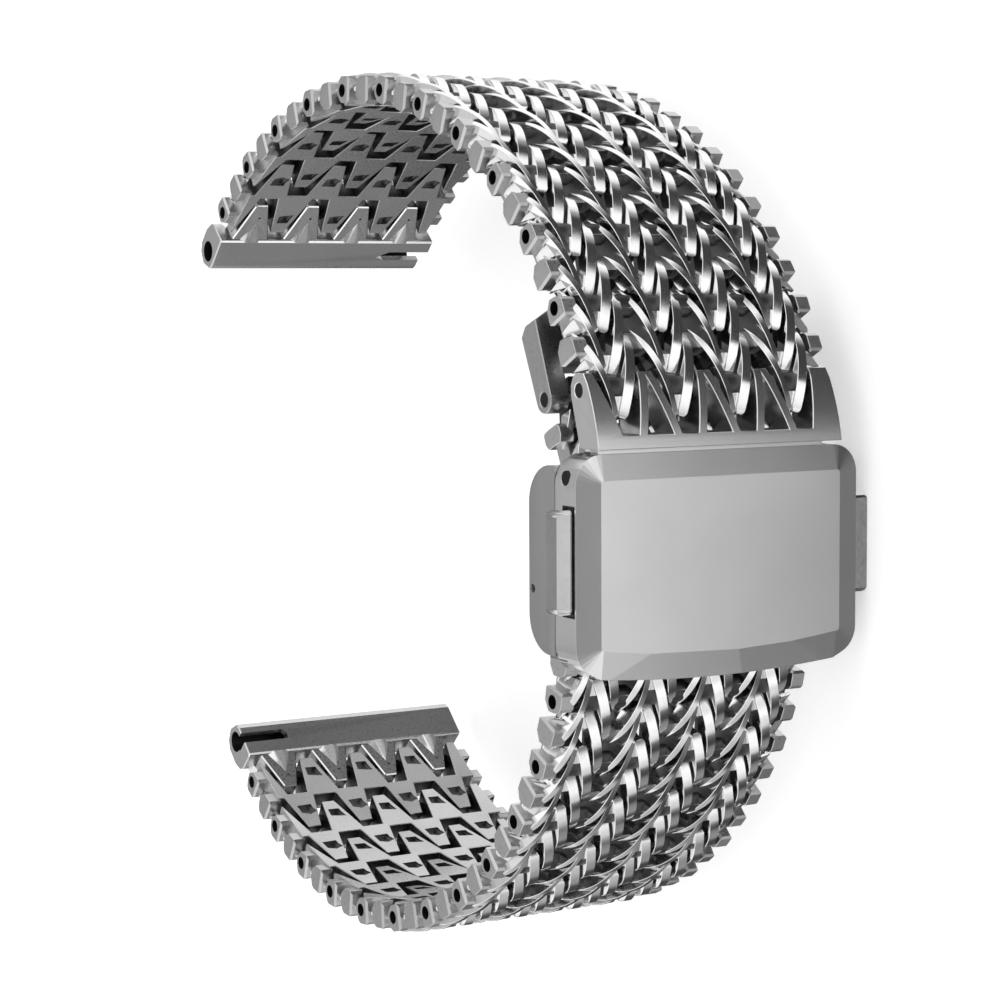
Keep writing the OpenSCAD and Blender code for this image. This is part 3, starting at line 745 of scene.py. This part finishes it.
# grey flat face, lighter teeth, polished ends and breaks; the dark sides between the teeth and the black bore walls
# are painted shade
def tintEnd(plate, length, side):
    slot = endParts.index
    for face in plate.polygons:
        u, v = face.center.x / mm, side * face.center.y / mm
        w = strapWidth - face.center.z / mm
        out = side * face.normal.y
        slant = max(abs(out), abs(face.normal.x), abs(face.normal.z))
        spans = (math.hypot(u, v) / endLink["bore"], math.hypot(u - length, v) / strap["bore"])
        upright = abs(face.normal.z)
        isTooth = u > endTint["teethFrom"]
        isBar = u < endTint["teethFrom"]
        flatFrom, flatOut, flatDepth = endTint["flat"]
        if min(spans) < endTint["nearBore"] and upright < tint["upright"]:
            face.material_index = slot("borePaintedShade")
        elif isTooth and out > -endTint["away"] and upright < endTint["end"] and slant > endTint["square"]:
            face.material_index = slot("recessPaintedShade")
        elif upright > endTint["strapEdge"] and isBar and not endTint["rim"] < w < strapWidth - endTint["rim"]:
            face.material_index = slot("polishedSteel")
        elif slant < endTint["slant"] and face.area < endTint["smallArea"] and u > endTint["breaksFrom"] and out < 0:
            face.material_index = slot("polishedSteel")
        elif flatFrom < u and isBar and out < -flatOut and v < -flatDepth:
            face.material_index = slot("barSteel")
        elif isBar:
            face.material_index = slot("innerSteel")


# end link: faceted bar with the spring-bar bore, and four teeth over the first hinge
def makeEndMeshes(name, length, pitch, side, opensLeft):
    body = newShape()
    addPrism(body, endLink["bar"], 0, strapWidth, "w", endLink["softEdge"], 0, 1)
    light = endParts.index("innerSteel")
    over = strap["toothOver"] * pitch
    tip, depth, base = length + over, strap["innerDepth"], endLink["toothFrom"]
    for k in range(strap["columns"]):
        outline = [(base, apex(k) - endLink["toothBase"]), (tip, apex(k) - strap["toothTip"]),
                   (tip, apex(k) + strap["toothTip"]), (base, apex(k) + endLink["toothBase"])]
        addPrism(body, outline, -depth, strap["bodyTop"], "v", endLink["softEdge"], light, 1)
        addHull(body, [(u, v, apex(k) + w) for u, w, v in endLink["ramp"]], 0, light)
    teeth = [apex(k) for k in range(strap["columns"])]
    addKnuckles(body, length, teeth, toothHalf(over) - strap["knuckleShort"][1], light)
    bores, slots, lips, dots = newShape(), newShape(), newShape(), newShape()
    addPrism(bores, circle(endLink["bore"], (0, 0)), -past, strapWidth + past, "w")
    addPrism(bores, circle(strap["bore"], (length, 0)), -past, strapWidth + past, "w")
    runs = endLink["slotRuns"]
    if opensLeft:
        addPrism(slots, endLink["longSlot"], *runs["long"], "v")
    else:
        addPrism(slots, [(u, strapWidth + w) for u, w in endLink["shortSlot"]], *runs["short"], "v")
        addPrism(lips, [(u, strapWidth + w) for u, w in endLink["shortLip"]], *runs["lip"], "v")
    dot = endLink["dot"]
    u, w = dot["place"]
    for k in range(strap["columns"]):
        outline = circle(dot["radius"], (length + u, apex(k) + w), dot["sides"])
        addPrism(dots, outline, -depth - dot["above"], -depth + dot["below"], "v")
    finish = [steel[key] for key in endParts]
    tools = [makeMesh(name + "Tool", shape, strapWidth, side, finish) for shape in (bores, slots, lips, dots)
             if shape["points"]]
    plate = cutMesh(name + "Plate", makeMesh(name + "Body", body, strapWidth, side, finish), tools)
    tintEnd(plate, length, side)
    shadeMesh(plate, crisp)
    return plate, *makeArmMeshes(name, (length - pitch / 2,), pitch, side)


# hinge pin of a link, with broken ends; its near-black tone is painted shade in the bores
pin = {"radius": 0.5, "inset": 0.6, "softEnd": 0.08}


def makePinMesh(look):
    shape = newShape()
    addPrism(shape, circle(look["radius"]), look["inset"], strapWidth - look["inset"], "w", look["softEnd"])
    mesh = makeMesh("hingePin", shape, strapWidth, 1, [steel["pinPaintedShade"]])
    shadeMesh(mesh)
    return mesh


hinges = {joint["name"]: Vector(joint["pos_m"][:2]) for joint in frame["joints"] if "pos_m" in joint}
upperPitch = (hinges["upper_hinge_05"] - hinges["upper_hinge_06"]).length / mm
lowerPitch = (hinges["lower_hinge_05"] - hinges["lower_hinge_06"]).length / mm


def heading(a, b):
    return math.atan2(b.y - a.y, b.x - a.x)


def standAt(point, angle):
    return Matrix.Translation((point.x, point.y, strapFloor)) @ Matrix.Rotation(angle, 4, "Z")


def dressLink(name, body, meshes, point, angle):
    matrix = standAt(point, angle)
    plate, arms, webs = meshes
    addPiece(name + "Plate", plate, body, matrix, (name,))
    addPiece(name + "Arms", arms, body, matrix)
    addPiece(name + "Webs", webs, body, matrix)
    addPiece(name + "Pin", pinMesh, body, matrix)


# links in each half, the ones seated in the clasp, and how far each turns on from the one before
links = {"count": 11, "seated": range(12, 16), "turn": math.radians(10)}

pinMesh = makePinMesh(pin)
upperMeshes = makeLinkMeshes("upperLink", upperPitch, 1)
print("upper link meshes ready")
lowerMeshes = makeLinkMeshes("lowerLink", lowerPitch, -1)
hiddenMeshes = makeLinkMeshes("hiddenLink", lowerPitch, -1, True)
lastMeshes = makeLinkMeshes("lastLink", lowerPitch, -1, True, True)
for k in range(1, links["count"] + 1):
    for half, meshes in (("upper", upperMeshes), ("lower", lowerMeshes)):
        first, second = [hinges["%s_hinge_%02d" % (half, j)] for j in (k, k + 1)]
        name = "%s_link_%02d" % (half, k)
        dressLink(name, name, meshes, first, heading(first, second))
# the seated links bend on towards the tail hinge
point, angle = hinges["lower_hinge_12"], heading(hinges["lower_hinge_11"], hinges["lower_hinge_12"])
for k in links["seated"]:
    isLast = k == links["seated"][-1]
    angle = heading(point, hinges["tail_hinge"]) if isLast else angle + links["turn"]
    meshes = lowerMeshes if k == links["seated"][0] else lastMeshes if isLast else hiddenMeshes
    dressLink("lower_link_%02d" % k, "clasp", meshes, point, angle)
    point = point + Vector((math.cos(angle), math.sin(angle))) * lowerPitch * mm
print("links placed")

# bar with a bulged front, which turns between two angles on the way down, and open cells for the last link's teeth
comb = {
    "frontTurn": (27, 9),
    "frontTop": (1.12, 0.5),
    "frontLength": 4.82,
    "frontSteps": 8,
    "frontFoot": -4.1,
    "rear": [(0.17, -4.1), (-1.0, -0.4), (-1.02, 0.35), (-0.75, 0.95), (-0.35, 1.22), (0.6, 1.25)],
    "endInset": 0.2,
    "barWidth": 0.7,
    "head": (-0.75, 0.5),
    "foot": (-1.36, 1.6),
    "cellEnds": (-3.15, 1.25),
    "cellRun": (-5, 7),
    "holeTop": (0.9, -0.12),
    "tongue": [(0.3, -3.9), (1.25, -3.9), (1.5, -6.05), (0.1, -6.05)],
    "tongueInset": 1,
    # metres
    "weld": 0.000002,
    "edgeBreak": 0.00005,
    # degrees
    "flat": 0.5,
    "broken": 35,
    "sharp": 24,
}


def makeCombMesh(look):
    body, bores, cells, holes = newShape(), newShape(), newShape(), newShape()
    front, spot = [], look["frontTop"]
    steps, (fromTurn, toTurn) = look["frontSteps"], look["frontTurn"]
    for step in range(steps + 1):
        front.append(spot)
        turn = math.radians(fromTurn + (toTurn - fromTurn) * (step + 0.5) / steps)
        reach = look["frontLength"] / steps
        spot = (spot[0] + math.sin(turn) * reach, spot[1] - math.cos(turn) * reach)
    front[-1] = (front[-1][0], look["frontFoot"])
    addPrism(body, front + look["rear"], look["endInset"], strapWidth - look["endInset"], "w")
    addPrism(body, look["tongue"], look["tongueInset"], strapWidth - look["tongueInset"], "w")
    addPrism(bores, circle(strap["bore"]), -past, strapWidth + past, "w")
    foot, head = look["cellEnds"]
    half = look["barWidth"] / 2
    for k in range(strap["columns"]):
        left, right = crown(k), crown(k + 1)
        headLeft, headRight = left + look["head"][1], right + look["head"][0]
        cell = [(head + past, headLeft), (head, headLeft), (foot, left + look["foot"][1] + half),
                (foot, right + look["foot"][0] - half), (head, headRight), (head + past, headRight)]
        addPrism(cells, cell, *look["cellRun"], "u")
        if k:
            hole = [(look["holeTop"][0], left + look["holeTop"][1]), (foot, left + look["foot"][1] - half),
                    (foot, left + look["foot"][0] + half)]
            addPrism(holes, hole, *look["cellRun"], "u")
    finish = [steel["satinSteel"], steel["borePaintedShade"]]
    tools = [makeMesh("combTool", shape, strapWidth, 1, finish) for shape in (bores, cells, holes)]
    mesh = cutMesh("combBar", makeMesh("combBody", body, strapWidth, 1, finish), tools)
    bm = bmesh.new()
    bm.from_mesh(mesh)
    bmesh.ops.remove_doubles(bm, verts=bm.verts, dist=look["weld"])
    bmesh.ops.dissolve_limit(bm, angle_limit=math.radians(look["flat"]), verts=bm.verts, edges=bm.edges)
    softenEdges(bm, look["edgeBreak"], 1, look["broken"])
    bm.to_mesh(mesh)
    bm.free()
    shadeMesh(mesh, look["sharp"])
    return mesh


combStand = standAt(hinges["upper_hinge_12"], 0)
addPiece("combBar", makeCombMesh(comb), "comb_link", combStand, ("comb_link",))

# end links turn one more step than the links beside them
for half, pitch, side in (("upper", upperPitch, 1), ("lower", lowerPitch, -1)):
    first, length = hinges[half + "_hinge_01"], endLink["length"][half]
    angle = heading(first, hinges[half + "_hinge_02"]) + side * links["turn"]
    start = first - Vector((math.cos(angle), math.sin(angle))) * length * mm
    name = half + "_end_link"
    plate, arms, webs = makeEndMeshes(half + "EndLink", length, pitch, side, half == "lower")
    matrix = standAt(start, angle)
    addPiece(name + "Plate", plate, name, matrix, (name,))
    addPiece(name + "Arms", arms, name, matrix)
    addPiece(name + "Webs", webs, name, matrix)
print("comb and end links placed")

# pieces that keep their CAD shape: finish, and width of the worn edges in millimetres
keptPieces = {
    "tail_block": ("barSteel", 0.1), "tail_magnet": ("magnetCoat", 0.05), "front_cover": ("satinSteel", 0.12),
    # the pins take the near-black pin tone, painted shade in their bores
    "comb_hinge_pin": ("pinPaintedShade", 0.05), "rear_frame": ("frameSteel", 0.14),
    "frame_back_plate": ("satinSteel", 0.08), "back_plate_pins": ("pinPaintedShade", 0.03),
    "left_push_button": ("buttonSteel", 0.24), "right_push_button": ("buttonSteel", 0.24),
    "left_button_springs": ("springWire", 0), "right_button_springs": ("springWire", 0),
    "cover_magnets": ("magnetCoat", 0.05), "frame_magnets": ("magnetCoat", 0.05),
}
keptEdges = {"weld": 0.000002, "flat": 1, "worn": 32, "split": 40}  # metres, then angles in degrees


def finishNode(name, material, width):
    piece = nodes[name]
    piece.data.materials.clear()
    piece.data.materials.append(steel[material])
    weld = piece.modifiers.new("weld", "WELD")
    weld.merge_threshold = keptEdges["weld"]
    flat = piece.modifiers.new("flat", "DECIMATE")
    flat.decimate_type = "DISSOLVE"
    flat.angle_limit = math.radians(keptEdges["flat"])
    if width:
        bevel = piece.modifiers.new("bevel", "BEVEL")
        bevel.width = width * mm
        bevel.segments = 2
        bevel.limit_method = "ANGLE"
        bevel.angle_limit = math.radians(keptEdges["worn"])
        bevel.harden_normals = True
    smooth = piece.modifiers.new("smooth", "EDGE_SPLIT")
    smooth.split_angle = math.radians(keptEdges["split"])


for name, (material, width) in keptPieces.items():
    finishNode(name, material, width)

# ends of the pins, seen in their bores, painted black as the shade inside the bores
pinEnds = {"radius": 0.528, "deep": 0.05, "length": 0.5, "softEdge": 0.02, "coverOut": 1.45}


def addPinEnds(name, body, point, low, high):
    deep, length = pinEnds["deep"], pinEnds["length"]
    for k, (start, stop) in enumerate(((low + deep, low + length), (high - length, high - deep))):
        shape = newShape()
        addPrism(shape, circle(pinEnds["radius"]), start, stop, "w", pinEnds["softEdge"])
        mesh = makeMesh(name, shape, 0, 1, [steel["borePaintedShade"]])
        mesh.transform(Matrix.Scale(-1, 4, (0, 0, 1)))
        mesh.flip_normals()
        addPiece("%s%d" % (name, k + 1), mesh, body, Matrix.Translation((point.x, point.y, strapFloor)))


addPinEnds("combEnd", "comb_link", hinges["upper_hinge_12"], comb["endInset"], strapWidth - comb["endInset"])
addPinEnds("tailEnd", "tail_block", hinges["tail_hinge"], 0, strapWidth)
addPinEnds("coverHingeEnd", "clasp", hinges["comb_hinge"], -pinEnds["coverOut"], strapWidth + pinEnds["coverOut"])
print("kept pieces finished")
